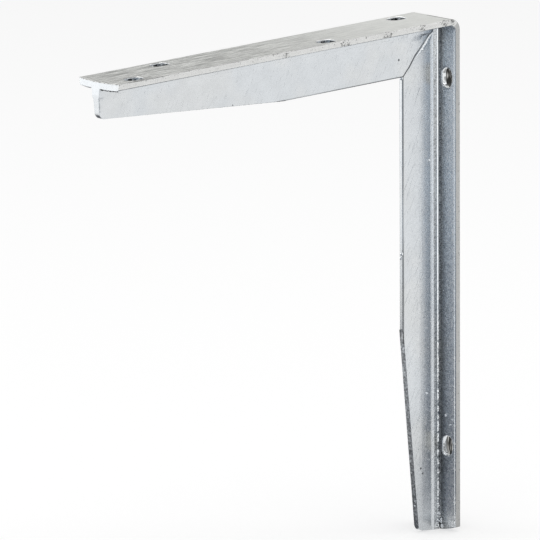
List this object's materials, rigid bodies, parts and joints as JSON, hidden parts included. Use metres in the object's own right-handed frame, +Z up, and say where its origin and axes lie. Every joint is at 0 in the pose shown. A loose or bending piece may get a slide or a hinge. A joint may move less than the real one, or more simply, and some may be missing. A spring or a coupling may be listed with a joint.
{
  "type": "shelf bracket",
  "caption": "Galvanised shelf bracket bent from one T bar, with a mitred web, tapered arms and slotted fixing holes.",
  "frame": {"origin": "where the wall plane meets the shelf plane, at the middle of the flange's width; the bend rounds the metal away from this corner", "axes": "+X out from the wall along the shelf arm, +Y across the flange towards the side with the open seam, +Z up from the shelf face"},
  "size_m": [0.2527, 0.03, 0.2827],
  "materials": {
    "galvanised_steel": "hot-dip galvanised, soft sheen with streaks and mottling"
  },
  "bodies": {
    "root": {"bracket": "galvanised_steel"}
  },
  "joints": []
}
